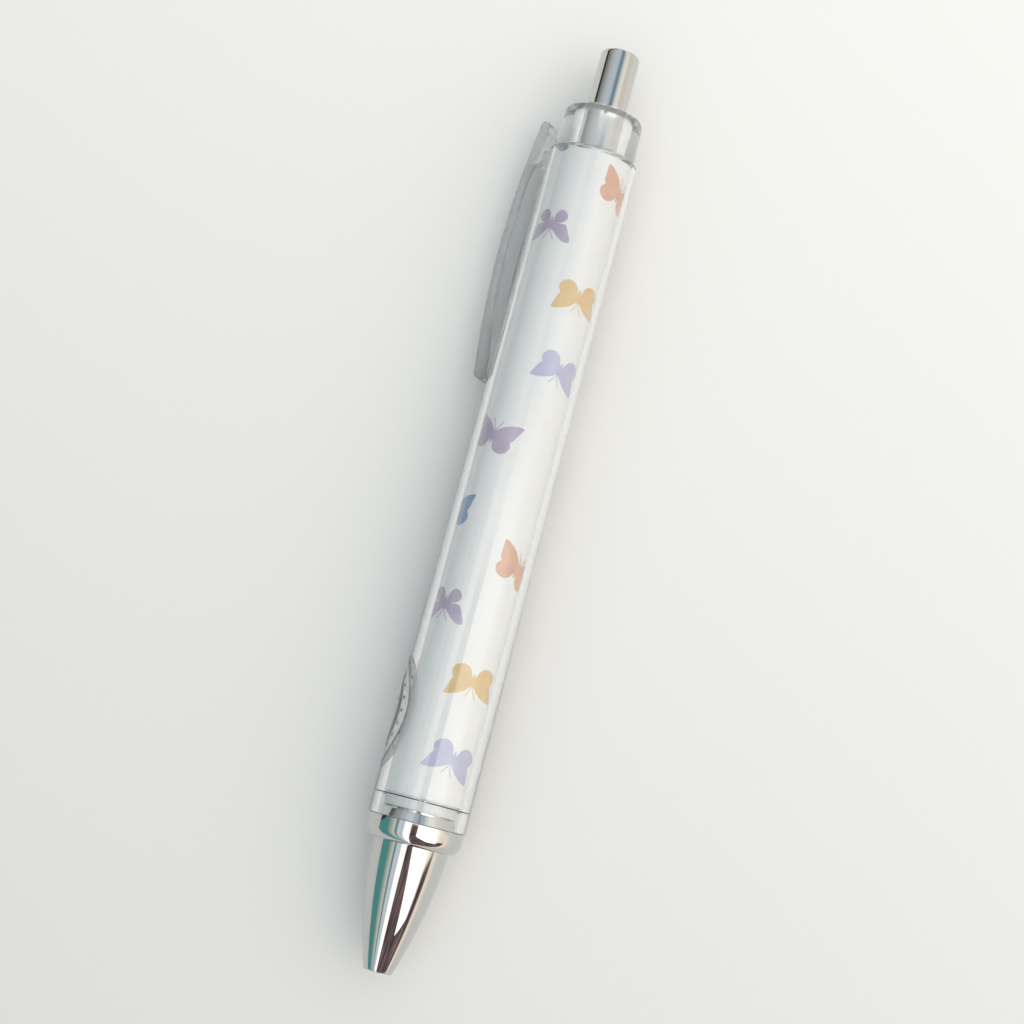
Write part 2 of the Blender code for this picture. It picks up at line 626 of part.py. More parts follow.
def return_spring():
    """Compression spring round the point, with a closed coil at each end."""
    wire = 0.5 * SPRING_WIRE
    low = SPRING_SEAT_DEPTH + SEAT_GAP + wire
    high = FLANGE_START - SEAT_GAP - wire
    closed_rise = SPRING_WIRE * 1.15
    open_rise = (high - low - 2.0 * closed_rise) / (SPRING_TURNS - 2)
    coil = bpy.data.curves.new("return_spring", "CURVE")
    coil.dimensions = "3D"
    coil.bevel_depth = wire
    coil.bevel_resolution = 2
    coil.use_fill_caps = True
    count = SPRING_TURNS * SPRING_POINTS_A_TURN
    path = coil.splines.new("POLY")
    path.points.add(count)
    for index, point in enumerate(path.points):
        turns = index / SPRING_POINTS_A_TURN
        first = min(turns, 1.0)
        middle = min(max(turns - 1.0, 0.0), SPRING_TURNS - 2.0)
        last = max(turns - (SPRING_TURNS - 1.0), 0.0)
        station = low + closed_rise * (first + last) + open_rise * middle
        angle = 2.0 * math.pi * turns
        place_x = SPRING_RADIUS * math.cos(angle)
        place_y = SPRING_RADIUS * math.sin(angle)
        point.co = (place_x, place_y, station - low, 1.0)
    return place(bpy.data.objects.new("return_spring", coil), "return_spring", steel, (0.0, 0.0, low))


# ---- Refill -----------------------------------------------------------------

def writing_ball():
    """Ball that rolls in the point and carries the ink."""
    mesh = bpy.data.meshes.new("writing_ball")
    shape = bmesh.new()
    bmesh.ops.create_uvsphere(shape, u_segments=FINE_STEPS, v_segments=10, radius=BALL_RADIUS)
    shape.to_mesh(mesh)
    shape.free()
    mesh.shade_smooth()
    centre = (0.0, 0.0, BALL_DEPTH + BALL_RADIUS)
    return place(bpy.data.objects.new("writing_ball", mesh), "writing_ball", carbide, centre)


def metal_point():
    """Turned point: the ball's socket, a cone, a shank and the tang pressed into the holder."""
    socket = BALL_RADIUS + BALL_FIT
    socket_end = BALL_DEPTH + BALL_RADIUS * 2.0
    cone_end = POINT_START + POINT_CONE_LENGTH
    shank_end = POINT_START + POINT_LENGTH
    tang_end = shank_end + SEAT_GAP + POINT_TANG_LENGTH
    outline = [(POINT_TANG_RADIUS, tang_end), (POINT_TANG_RADIUS, shank_end)]
    outline += [(POINT_RADIUS, shank_end), (POINT_RADIUS, cone_end)]
    outline += [(POINT_LIP_RADIUS, POINT_START), (socket, POINT_START)]
    outline += [(socket, socket_end), (BALL_SEAT_CHANNEL, socket_end + socket)]
    outline += [(BALL_SEAT_CHANNEL, cone_end), (INK_CHANNEL_RADIUS, cone_end + INK_CHANNEL_RADIUS)]
    outline.append((INK_CHANNEL_RADIUS, tang_end))
    return turned("metal_point", outline, nickel_silver, FINE_STEPS, at=POINT_START)


def point_holder():
    """Plastic holder between the point and the ink tube; its flange takes the spring."""
    tang_bore = POINT_TANG_RADIUS + SLIDE_FIT
    tang_end = HOLDER_START + POINT_TANG_LENGTH + SEAT_GAP
    outline = [(REFILL_FILL_RADIUS, HOLDER_END), (REFILL_FILL_RADIUS, FLANGE_END)]
    outline += [(REFILL_RADIUS, FLANGE_END), (REFILL_RADIUS, FLANGE_START)]
    outline += [(HOLDER_NOSE_RADIUS, FLANGE_START), (HOLDER_NOSE_RADIUS, HOLDER_START)]
    outline += [(tang_bore, HOLDER_START), (tang_bore, tang_end)]
    outline += [(INK_CHANNEL_RADIUS, tang_end), (INK_CHANNEL_RADIUS, HOLDER_END)]
    return turned("point_holder", outline, milky_plastic, at=HOLDER_START)


def refill_tube():
    """Ink tube of the refill."""
    outline = [(REFILL_RADIUS, REFILL_TUBE_END), (REFILL_RADIUS, REFILL_TUBE_START)]
    outline += [(REFILL_BORE, REFILL_TUBE_START), (REFILL_BORE, REFILL_TUBE_END)]
    return turned("refill_tube", outline, milky_plastic, at=REFILL_TUBE_START)


def gel_ink():
    """Column of gel ink in the tube."""
    end = INK_START + INK_LENGTH
    outline = [(0.0, end), (REFILL_FILL_RADIUS, end), (REFILL_FILL_RADIUS, INK_START), (0.0, INK_START)]
    return turned("gel_ink", outline, ink, at=INK_START)


def ink_follower():
    """Grease that follows the ink down and keeps it from drying, with room for its float."""
    end = FOLLOWER_START + FOLLOWER_LENGTH
    cup = FLOAT_RADIUS + SLIDE_FIT
    cup_start = FOLLOWER_START + FOLLOWER_SKIN
    outline = [(0.0, cup_start), (cup, cup_start), (cup, end), (REFILL_FILL_RADIUS, end)]
    outline += [(REFILL_FILL_RADIUS, FOLLOWER_START), (0.0, FOLLOWER_START)]
    return turned("ink_follower", outline, grease, at=FOLLOWER_START)


def follower_float():
    """Small plastic rod that steadies the grease."""
    end = FLOAT_START + FLOAT_LENGTH
    outline = [(0.0, end), (FLOAT_RADIUS, end), (FLOAT_RADIUS, FLOAT_START), (0.0, FLOAT_START)]
    return turned("follower_float", outline, milky_plastic, FINE_STEPS, at=FLOAT_START)


def tail_plug():
    """Vented plug in the tail of the ink tube, which the rotor pushes on."""
    insert_start = REFILL_TUBE_END - TAIL_INSERT_LENGTH
    cap_start = REFILL_END - TAIL_CAP_LENGTH
    cap_radius = REFILL_RADIUS - CAM_STEP
    outline = [(cap_radius, REFILL_END), (cap_radius, cap_start)]
    outline += [(REFILL_FILL_RADIUS, cap_start), (REFILL_FILL_RADIUS, insert_start)]
    outline += [(TAIL_VENT_RADIUS, insert_start), (TAIL_VENT_RADIUS, REFILL_END)]
    return turned("tail_plug", outline, white_plastic, at=insert_start)


tip_cone()
outer_barrel()
paper_insert()
inner_tube()
head_cap()
cam_sleeve()
round_label()
pocket_clip()
push_button()
thrust_cam()
rotor_cam()
return_spring()
writing_ball()
metal_point()
point_holder()
refill_tube()
gel_ink()
ink_follower()
follower_float()
tail_plug()
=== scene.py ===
"""Looks of the gel pen: a clear barrel over a printed paper roll, a chromed tip and a clear clip."""
import math

import bpy
from mathutils import Matrix, Vector


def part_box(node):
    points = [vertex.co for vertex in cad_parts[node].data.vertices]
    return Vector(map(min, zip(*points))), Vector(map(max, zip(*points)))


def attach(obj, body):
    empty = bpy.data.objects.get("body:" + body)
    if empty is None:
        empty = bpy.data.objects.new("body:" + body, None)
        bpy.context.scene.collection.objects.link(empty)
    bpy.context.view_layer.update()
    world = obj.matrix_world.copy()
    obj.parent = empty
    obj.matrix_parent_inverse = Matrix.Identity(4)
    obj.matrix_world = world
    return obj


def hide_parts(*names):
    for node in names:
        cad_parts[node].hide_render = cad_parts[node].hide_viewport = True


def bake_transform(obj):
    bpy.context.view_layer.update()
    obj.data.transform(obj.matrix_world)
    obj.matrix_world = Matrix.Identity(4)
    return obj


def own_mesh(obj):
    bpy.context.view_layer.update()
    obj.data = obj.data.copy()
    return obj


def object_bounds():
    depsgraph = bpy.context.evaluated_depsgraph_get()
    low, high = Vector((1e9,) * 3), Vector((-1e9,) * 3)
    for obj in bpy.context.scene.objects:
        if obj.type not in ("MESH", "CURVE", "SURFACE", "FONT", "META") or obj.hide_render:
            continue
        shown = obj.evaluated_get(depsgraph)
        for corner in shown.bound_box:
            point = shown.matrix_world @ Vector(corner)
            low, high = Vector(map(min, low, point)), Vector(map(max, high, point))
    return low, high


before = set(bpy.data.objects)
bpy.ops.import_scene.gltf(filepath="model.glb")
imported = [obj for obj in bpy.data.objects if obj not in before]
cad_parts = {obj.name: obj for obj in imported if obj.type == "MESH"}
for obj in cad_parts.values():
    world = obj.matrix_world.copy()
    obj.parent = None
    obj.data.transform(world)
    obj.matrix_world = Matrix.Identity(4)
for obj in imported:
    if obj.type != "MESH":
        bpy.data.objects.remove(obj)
cad_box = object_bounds()

MM = 0.001
ROUND = 144                    # steps round a turned piece

# Stations, in mm from the tip's end along the pen
BEAD_START = 18.05
TIP_END = 21.3
BARREL_START = 21.34
BARREL_STEP = 24.5
BOSS_END = 22.7
TUBE_START = 23.0
PAPER_START = 24.8
SPIGOT_END = 30.0
LABEL_STATION = 36.0
HEAD_SPIGOT = 118.9
BUTTON_START = 119.2
BUTTON_FLOOR = 132.7
TUBE_NECK_START = 30.3
TUBE_NECK_END = 103.7
PAPER_END = 122.3
TUBE_END = 122.4
BARREL_END = 122.94
COLLAR_START = 123.0
COLLAR_END = 130.0
PEN_END = 140.0
CLIP_LOW = 86.4
CLIP_TOP = 127.6

# Radii, in mm
TUBE_BORE = 4.4
TUBE_OUTER = 5.2
PAPER_INNER = 5.51
PAPER_OUTER = 5.66
BARREL_BORE = 5.76
BARREL_MOUTH = 5.9
BARREL_AT_TIP = 7.11
BARREL_AT_HEAD = 6.71
COLLAR_FOOT = 6.16
COLLAR_TOP = 5.91
BUTTON_HOLE = 3.08
BUTTON_RADIUS = 3.0
BUTTON_BORE = 2.4
SPIGOT_RADIUS = 4.3            # the tip's and the head's spigots, a little inside the tube
TUBE_NECK = 3.9

tip_low, tip_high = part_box("tip_cone")
button_low, button_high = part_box("push_button")
TIP_X = tip_high[0]
AXIS_Y = 0.5 * (button_low[1] + button_high[1])
AXIS_Z = 0.5 * (button_low[2] + button_high[2])
CLIP_TURN = math.radians(-117.0)         # round the axis from the top, towards +Y
LABEL_TURN = CLIP_TURN


def on_pen(station, radius=0.0, turn=0.0):
    """A place on the pen: station and radius in mm, and the turn round the axis from the top."""
    across = radius * math.sin(turn)
    up = radius * math.cos(turn)
    return Vector((TIP_X - station * MM, AXIS_Y + across * MM, AXIS_Z + up * MM))


# ---- Modelling helpers -----------------------------------------------------

def only(piece):
    """Select one piece alone and make it active."""
    bpy.ops.object.select_all(action="DESELECT")
    piece.select_set(True)
    bpy.context.view_layer.objects.active = piece


def settle(piece, name, angle=30.0):
    """Name a finished piece, put its place into its mesh and shade it."""
    only(piece)
    piece.name = name
    piece.data.name = name
    bpy.ops.object.transform_apply(location=True, rotation=True, scale=True)
    bpy.ops.object.shade_smooth_by_angle(angle=math.radians(angle))
    return piece


def close_up(merge=1e-6):
    """Merge doubles of the mesh in edit mode and turn its faces outwards."""
    bpy.ops.mesh.select_all(action="SELECT")
    bpy.ops.mesh.remove_doubles(threshold=merge)
    bpy.ops.mesh.normals_make_consistent(inside=False)


def apply_all(piece):
    """Apply a piece's modifiers in their order."""
    only(piece)
    for modifier in list(piece.modifiers):
        bpy.ops.object.modifier_apply(modifier=modifier.name)


def eased(outline, steps=4):
    """An outline with its corners eased: each point is (station, radius) or (station, radius, ease)."""
    points = []
    for index, point in enumerate(outline):
        ease = point[2] if len(point) > 2 else 0.0
        here = Vector(point[:2])
        if ease == 0.0 or index in (0, len(outline) - 1):
            points.append(here)
            continue
        before = Vector(outline[index - 1][:2])
        after = Vector(outline[index + 1][:2])
        start = here + (before - here).normalized() * ease
        end = here + (after - here).normalized() * ease
        for step in range(steps + 1):
            share = step / steps
            points.append((1 - share) ** 2 * start + 2 * share * (1 - share) * here + share ** 2 * end)
    return points


def turned(name, outline, steps=ROUND):
    """A turned piece: a ring extruded and scaled from each point of its outline to the next."""
    points = eased(outline)
    bpy.ops.object.select_all(action="DESELECT")
    station, radius = points[0]
    bpy.ops.mesh.primitive_circle_add(
        vertices=steps, radius=radius * MM, location=on_pen(station), rotation=(0.0, 0.5 * math.pi, 0.0))
    piece = bpy.context.object
    bpy.ops.object.mode_set(mode="EDIT")
    bpy.ops.mesh.select_all(action="SELECT")
    for (station, radius), (new_station, new_radius) in zip(points, points[1:]):
        step = ((station - new_station) * MM, 0.0, 0.0)
        bpy.ops.mesh.extrude_region_move(TRANSFORM_OT_translate={"value": step})
        if new_radius == 0.0:
            bpy.ops.mesh.merge(type="CENTER")
        else:
            growth = new_radius / radius
            bpy.ops.transform.resize(value=(1.0, growth, growth), center_override=on_pen(new_station))
    close_up()
    bpy.ops.object.mode_set(mode="OBJECT")
    return settle(piece, name)


def arc(start, end, along_first, steps=8):
    """A quarter ellipse between two (station, radius) points, leaving along the pen or across it."""
    points = []
    for index in range(1, steps):
        angle = 0.5 * math.pi * index / steps
        quick, slow = math.sin(angle), 1.0 - math.cos(angle)
        along, across = (quick, slow) if along_first else (slow, quick)
        points.append((start[0] + (end[0] - start[0]) * along, start[1] + (end[1] - start[1]) * across))
    return points


def filled(name, outlines, depth=0.0):
    """Flat closed outlines in mm, filled and as deep as given, as one mesh in its own plane."""
    drawing = bpy.data.curves.new(name, "CURVE")
    drawing.dimensions = "2D"
    drawing.fill_mode = "BOTH"
    drawing.extrude = 0.5 * depth * MM
    for outline in outlines:
        edge = drawing.splines.new("POLY")
        edge.points.add(len(outline) - 1)
        for point, (first, second) in zip(edge.points, outline):
            point.co = (first * MM, second * MM, 0.0, 1.0)
        edge.use_cyclic_u = True
    piece = bpy.data.objects.new(name, drawing)
    bpy.context.scene.collection.objects.link(piece)
    only(piece)
    bpy.ops.object.convert(target="MESH")
    return bpy.context.object


def joined(pieces):
    """Several meshes made one."""
    only(pieces[0])
    for piece in pieces[1:]:
        piece.select_set(True)
    if len(pieces) > 1:
        bpy.ops.object.join()
    return bpy.context.object


# ---- Materials -------------------------------------------------------------

NOISE_LOW = 0.3                # noise seldom goes past these two values
NOISE_HIGH = 0.7


def linear(code):
    """The linear colour of an sRGB hex code."""
    values = [int(code[index:index + 2], 16) / 255.0 for index in (1, 3, 5)]
    return [value / 12.92 if value <= 0.04045 else ((value + 0.055) / 1.055) ** 2.4 for value in values]


def add(tree, kind, inputs=None, **settings):
    """Add a node with its settings, and with its inputs linked to a socket or set to a value."""
    node = tree.nodes.new(kind)
    for key, value in settings.items():
        setattr(node, key, value)
    for socket, value in (inputs or {}).items():
        if isinstance(value, bpy.types.NodeSocket):
            tree.links.new(value, node.inputs[socket])
        else:
            node.inputs[socket].default_value = value
    return node


def set_stops(ramp, stops):
    """Give a colour ramp its stops, each a place from 0 to 1 and a linear colour."""
    elements = ramp.color_ramp.elements
    while len(elements) < len(stops):
        elements.new(0.5)
    for element, (at, colour) in zip(elements, stops):
        element.position = at
        element.color = (*colour, 1.0)


def material(name, colour, **sockets):
    """A Principled material in one colour, and its tree, shader and Object coordinates."""
    made = bpy.data.materials.new(name)
    made.use_nodes = True
    tree = made.node_tree
    shader = tree.nodes["Principled BSDF"]
    shader.inputs["Base Color"].default_value = (*linear(colour), 1.0)
    for socket, value in sockets.items():
        shader.inputs[socket.replace("_", " ")].default_value = value
    place = add(tree, "ShaderNodeTexCoord")
    return made, tree, shader, place.outputs["Object"]


def grain(tree, place, scale_mm, detail, stretch):
    """Cloudy noise of a real size in mm, stretched along or across the piece."""
    mapping = add(tree, "ShaderNodeMapping", {"Vector": place, "Scale": stretch})
    noise = add(tree, "ShaderNodeTexNoise", {
        "Vector": mapping.outputs["Vector"], "Scale": 1.0 / (scale_mm * MM), "Detail": detail})
    return noise.outputs["Fac"]


def varied(tree, shader, place, socket, scale_mm, low, high, detail=3.0, stretch=(1.0, 1.0, 1.0)):
    """Let noise of a real size in mm run a socket between two values."""
    noise = grain(tree, place, scale_mm, detail, stretch)
    reach = add(tree, "ShaderNodeMapRange", {
        "Value": noise, "From Min": NOISE_LOW, "From Max": NOISE_HIGH, "To Min": low, "To Max": high})
    tree.links.new(reach.outputs["Result"], shader.inputs[socket])


def mottled(tree, shader, place, scale_mm, colours, detail=3.0, stretch=(1.0, 1.0, 1.0)):
    """Let noise of a real size in mm mix two colours into the base colour."""
    noise = grain(tree, place, scale_mm, detail, stretch)
    ramp = add(tree, "ShaderNodeValToRGB", {"Fac": noise})
    set_stops(ramp, [(NOISE_LOW, linear(colours[0])), (NOISE_HIGH, linear(colours[1]))])
    tree.links.new(ramp.outputs["Color"], shader.inputs["Base Color"])


def bumped(tree, shader, place, scale_mm, height_mm, detail=2.0, stretch=(1.0, 1.0, 1.0)):
    """Relief of a real grain and height in mm."""
    noise = grain(tree, place, scale_mm, detail, stretch)
    relief = add(tree, "ShaderNodeBump", {"Height": noise, "Strength": 1.0, "Distance": height_mm * MM})
    tree.links.new(relief.outputs["Normal"], shader.inputs["Normal"])


CHROME_TINT = "#CECECD"


def chrome_plated_abs():
    """Chrome over moulded ABS: a near mirror, with the faint sink and ripple of the moulding under it."""
    made, tree, shader, place = material("chrome_plated_abs", CHROME_TINT, Metallic=1.0)
    varied(tree, shader, place, "Roughness", 3.0, 0.02, 0.05)
    bumped(tree, shader, place, 6.0, 0.004)
    return made


def clear_polystyrene(name, ripple_mm, ior, clearness):
    """Clear polystyrene from a polished mould: bright, hard highlights and a slight flow ripple."""
    made, tree, shader, place = material(
        name, "#FDFEFE", Roughness=0.0, IOR=ior, Transmission_Weight=clearness)
    bumped(tree, shader, place, 4.0, ripple_mm, stretch=(0.4, 1.0, 1.0))
    return made


def coated_paper():
    """Coated print paper: smooth and bright white, with a faint cloudiness where fibres lie thicker."""
    made, tree, shader, place = material("coated_paper", "#F4F5F4", Roughness=0.55)
    mottled(tree, shader, place, 1.2, ("#F8F9F9", "#FCFCFB"), detail=5.0)
    bumped(tree, shader, place, 0.15, 0.002)
    return made


def offset_ink(name, pale, deep):
    """Offset printing ink in a pastel tint: flat, a little deeper in soft clouds and as matt as the paper."""
    made, tree, shader, place = material(name, pale, Roughness=0.5)
    mottled(tree, shader, place, 1.5, (pale, deep), detail=4.0)
    bumped(tree, shader, place, 0.15, 0.002)
    return made


def sticker_film():
    """Clear polypropylene film with a matt adhesive behind it: hazy where the glue has set unevenly."""
    made, tree, shader, place = material("sticker_film", "#F8F8F6", IOR=1.5, Alpha=0.4)
    varied(tree, shader, place, "Roughness", 1.5, 0.15, 0.35)
    return made


def natural_polypropylene():
    """Unpigmented polypropylene: milky, soft-edged light inside and a satin skin."""
    made, tree, shader, place = material(
        "natural_polypropylene", "#F6F9F9", IOR=1.49, Transmission_Weight=0.15)
    varied(tree, shader, place, "Roughness", 2.0, 0.3, 0.42)
    return made


def white_acetal():
    """White acetal: dense, waxy and satin, as moulded cams are."""
    made, tree, shader, place = material("white_acetal", "#EDEDE8", IOR=1.48)
    varied(tree, shader, place, "Roughness", 1.0, 0.32, 0.45)
    return made


def drawn_metal(name, colour, low, high):
    """Drawn or turned metal: bright, with fine lines round or along the work."""
    made, tree, shader, place = material(name, colour, Metallic=1.0)
    varied(tree, shader, place, "Roughness", 0.12, low, high, stretch=(8.0, 1.0, 1.0))
    return made


def gel_ink():
    """Black gel ink: opaque, wet and glossy, with a slow swirl of thicker gel."""
    made, tree, shader, place = material("black_gel_ink", "#101013", IOR=1.38)
    varied(tree, shader, place, "Roughness", 2.5, 0.06, 0.16)
    return made


def follower_grease():
    """Clear polybutene grease: faintly yellow and glassy."""
    made, tree, shader, place = material("follower_grease", "#F4EFD8", IOR=1.47, Transmission_Weight=0.9)
    varied(tree, shader, place, "Roughness", 1.5, 0.05, 0.15)
    return made


def label_ink():
    """Dark grey screen ink on the sticker: solid, a little broken where it is thin."""
    made, tree, shader, place = material("label_ink", "#4A4A4C", Roughness=0.4)
    mottled(tree, shader, place, 0.4, ("#3E3E40", "#77787A"), detail=4.0)
    return made


CHROME = chrome_plated_abs()
BARREL_CLEAR = clear_polystyrene("clear_polystyrene_tube", 0.001, 1.57, 1.0)
HEAD_CLEAR = clear_polystyrene("clear_polystyrene_head", 0.05, 1.42, 0.86)
PAPER = coated_paper()
MILKY = natural_polypropylene()
INKS = {
    "yellow": offset_ink("offset_ink_yellow", "#EFD3A2", "#E9C690"),
    "peach": offset_ink("offset_ink_peach", "#E9C0A6", "#E2B299"),
    "purple": offset_ink("offset_ink_purple", "#CDBFD6", "#BFB0CB"),
    "lavender": offset_ink("offset_ink_lavender", "#CFCFE8", "#C2C3E2"),
    "blue": offset_ink("offset_ink_blue", "#9DB6D3", "#8DA8C8"),
}


def wear(piece, look, slot_name, body="casing", *nodes):
    """Give a new piece its material and body, and hide the CAD nodes it stands for; slot_name is not used."""
    piece.data.materials.clear()
    piece.data.materials.append(look)
    if body:
        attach(piece, body)
    if nodes:
        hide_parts(*nodes)
    return piece


# ---- Chromed tip and button ------------------------------------------------

BEAD_CREST = 19.6
BEAD_FOOT_RADIUS = 5.66
BOSS_RADIUS = 5.35
CONE_NOSE = 2.05
CONE_BASE = 5.56
CONE_BELLY = 0.63              # how far the cone bulges halfway up
POINT_HOLE = 1.25
SEAT = 6.0                     # station of the return spring's seat
SPRING_HOLE = 2.5
SPRING_HOLE_END = 12.4
REFILL_HOLE = 3.3
REFILL_HOLE_START = 13.2


def tip_outline():
    """Half outline of the tip, down the outside and up the inside."""
    bead_top = (BEAD_CREST, BARREL_AT_TIP - 0.12)
    bead_foot = (BEAD_START, BEAD_FOOT_RADIUS)
    outline = [(SPIGOT_END, SPIGOT_RADIUS), (BOSS_END, SPIGOT_RADIUS), (BOSS_END, BOSS_RADIUS, 0.12),
               (TIP_END, BEAD_FOOT_RADIUS), (TIP_END, BARREL_AT_TIP - 0.09, 0.1), bead_top]
    outline += arc(bead_top, bead_foot, True, 12)
    outline.append(bead_foot)
    cone_steps = 28
    for index in range(cone_steps, -1, -1):
        share = index / cone_steps
        straight = CONE_NOSE + (CONE_BASE - CONE_NOSE) * share
        radius = straight + CONE_BELLY * 4.0 * share * (1.0 - share)
        ease = 0.2 if index == 0 else 0.0
        outline.append((BEAD_START * share, radius, ease))
    outline += [(0.0, POINT_HOLE, 0.1), (SEAT, POINT_HOLE), (SEAT, SPRING_HOLE),
                (SPRING_HOLE_END, SPRING_HOLE), (REFILL_HOLE_START, REFILL_HOLE),
                (SPIGOT_END, REFILL_HOLE), (SPIGOT_END, SPIGOT_RADIUS)]
    return outline


tip = turned("pen_tip", tip_outline())
wear(tip, CHROME, "chrome", "casing", "tip_cone")

button = turned("button_cap", [
    (BUTTON_FLOOR, 0.0001), (BUTTON_FLOOR, BUTTON_BORE, 0.2), (BUTTON_START, BUTTON_BORE),
    (BUTTON_START, BUTTON_RADIUS, 0.1), (PEN_END, BUTTON_RADIUS, 0.6), (PEN_END, 0.0)])
wear(button, CHROME, "chrome", "button", "push_button")


# ---- Clear barrel, tube and paper ------------------------------------------

barrel = turned("clear_barrel", [
    (BARREL_START, BARREL_MOUTH), (BARREL_START, BARREL_AT_TIP, 0.08), (BARREL_END, BARREL_AT_HEAD, 0.3),
    (BARREL_END, BARREL_BORE, 0.1), (BARREL_STEP, BARREL_BORE), (BARREL_STEP - 0.15, BARREL_MOUTH),
    (BARREL_START, BARREL_MOUTH)])
wear(barrel, BARREL_CLEAR, "clear_plastic", "casing", "outer_barrel")

tube = turned("milky_tube", [
    (TUBE_START, TUBE_BORE), (TUBE_START, TUBE_OUTER, 0.1), (TUBE_END, TUBE_OUTER, 0.1),
    (TUBE_END, TUBE_BORE), (TUBE_NECK_END, TUBE_BORE), (TUBE_NECK_END, TUBE_NECK),
    (TUBE_NECK_START, TUBE_NECK), (TUBE_NECK_START, TUBE_BORE), (TUBE_START, TUBE_BORE)])
wear(tube, MILKY, "milky_plastic", "casing", "inner_tube")

roll = turned("paper_roll", [
    (PAPER_START, PAPER_INNER), (PAPER_START, PAPER_OUTER), (PAPER_END, PAPER_OUTER),
    (PAPER_END, PAPER_INNER), (PAPER_START, PAPER_INNER)])
wear(roll, PAPER, "paper", "casing", "paper_insert")


# ---- Butterfly print -------------------------------------------------------

# Half outlines in mm, across and towards the button, from the tail's notch to the head.
# The head points to the tip.
COMMON_WING = [
    (0.0, 1.1), (0.12, 0.95), (0.16, 0.6), (0.28, 0.6), (0.42, 1.0), (0.62, 1.45), (0.92, 1.83),
    (1.4, 2.1), (2.0, 2.13), (2.6, 1.86), (2.95, 1.45), (3.12, 1.0), (3.08, 0.6), (2.84, 0.08),
    (2.86, -0.08), (3.1, -0.4), (3.35, -1.15), (3.6, -1.95), (3.75, -2.5), (3.58, -2.66),
    (3.1, -2.6), (2.2, -2.35), (1.55, -2.03), (0.95, -1.62), (0.45, -1.15), (0.22, -0.85),
    (0.1, -0.95),
]
SMALL_WING = [
    (0.0, 1.0), (0.12, 0.85), (0.16, 0.5), (0.28, 0.5), (0.35, 1.1), (0.6, 1.75), (1.05, 2.15),
    (1.6, 2.1), (2.05, 1.7), (2.25, 1.15), (2.05, 0.6), (1.5, 0.22), (0.85, 0.1), (1.4, 0.05),
    (2.15, -0.02), (2.5, -0.45), (2.85, -1.3), (3.2, -2.15), (3.12, -2.62), (2.6, -2.7),
    (1.9, -2.4), (1.15, -1.75), (0.5, -1.1), (0.22, -0.8), (0.1, -0.9),
]


FEELER_ROOT = (0.12, -0.85)    # across and along, where a feeler leaves the head
FEELER_WIDTH = 0.13
FEELER_CURVE = 1.3
FEELERS = [(1.0, (1.0, -2.6)), (-1.0, (0.8, -2.45))]   # side, and the feeler's end across and along


def half_wing(kind, stretch):
    """A half outline with its front wings stretched outwards."""
    half = []
    for across, along in kind:
        growth = stretch if along < 0.0 else 1.0
        half.append((across * growth, along * growth))
    return half


def smooth_loop(points, steps=4):
    """A closed outline through the points, curved evenly between them."""
    loop = []
    count = len(points)
    for index in range(count):
        before, start, end, after = (Vector(points[(index + step) % count]) for step in (-1, 0, 1, 2))
        for step in range(steps):
            share = step / steps
            loop.append(0.5 * (2.0 * start + (end - before) * share
                               + (2.0 * before - 5.0 * start + 4.0 * end - after) * share ** 2
                               + (3.0 * start - before - 3.0 * end + after) * share ** 3))
    return loop


def feeler(side, end):
    """A thin curved feeler from the head."""
    root_across, root_along = FEELER_ROOT
    outer = [(side * (root_across + (end[0] - root_across) * share ** FEELER_CURVE),
              root_along + (end[1] - root_along) * share)
             for share in (0.0, 0.35, 0.7, 1.0)]
    inner = [(across - side * FEELER_WIDTH, along) for across, along in reversed(outer)]
    return outer + inner


def butterfly(kind, stretch, across, station, turn_deg):
    """Outlines of a butterfly on the flat sheet, as (along X, across) in mm."""
    half = half_wing(kind, stretch)
    body = smooth_loop(half + [(-first, second) for first, second in reversed(half[1:])])
    turn = math.radians(turn_deg)
    shapes = [body] + [feeler(side, end) for side, end in FEELERS]
    placed = []
    for shape in shapes:
        outline = []
        for first, second in shape:
            side = first * math.cos(turn) + second * math.sin(turn)
            ahead = -first * math.sin(turn) + second * math.cos(turn)
            outline.append((-(station + ahead), across + side))
        placed.append(outline)
    return placed


ROUND_ABOUT = 2.0 * math.pi * PAPER_OUTER
REPEAT = 57.9                  # the print's repeat along the pen
DRIFT = 0.6                    # how far it moves across in one repeat
# colour, outline, front wing stretch, across, station, turn clockwise
PRINT = [
    ("peach", COMMON_WING, 1.06, 4.7, 59.2, 200.0),
    ("purple", SMALL_WING, 1.0, -4.15, 52.3, 0.0),
    ("yellow", COMMON_WING, 0.95, 2.5, 42.35, 0.0),
    ("lavender", COMMON_WING, 0.95, 2.5, 31.15, 12.0),
    ("purple", COMMON_WING, 1.0, -3.75, 77.3, 192.0),
    ("blue", COMMON_WING, 0.95, -7.4, 65.85, 180.0),
    ("peach", COMMON_WING, 1.1, -13.6, 96.0, 150.0),
    ("yellow", COMMON_WING, 1.0, -12.4, 73.0, 15.0),
    ("lavender", SMALL_WING, 1.1, -13.2, 52.0, 190.0),
    ("blue", COMMON_WING, 1.0, 11.8, 94.0, 170.0),
    ("lavender", COMMON_WING, 1.05, 12.4, 74.5, 10.0),
    ("purple", SMALL_WING, 1.0, 11.6, 51.0, 200.0),
]
COLUMN = ROUND_ABOUT / ROUND   # one bend of the sheet for each step of the roll
INK_LIFT = 0.02                # keeps the ink just clear of the paper
INK_FILM = 0.012               # thicker than real ink, so that its two faces stay apart
WING_SPAN = 3.0                # a butterfly's reach along the pen


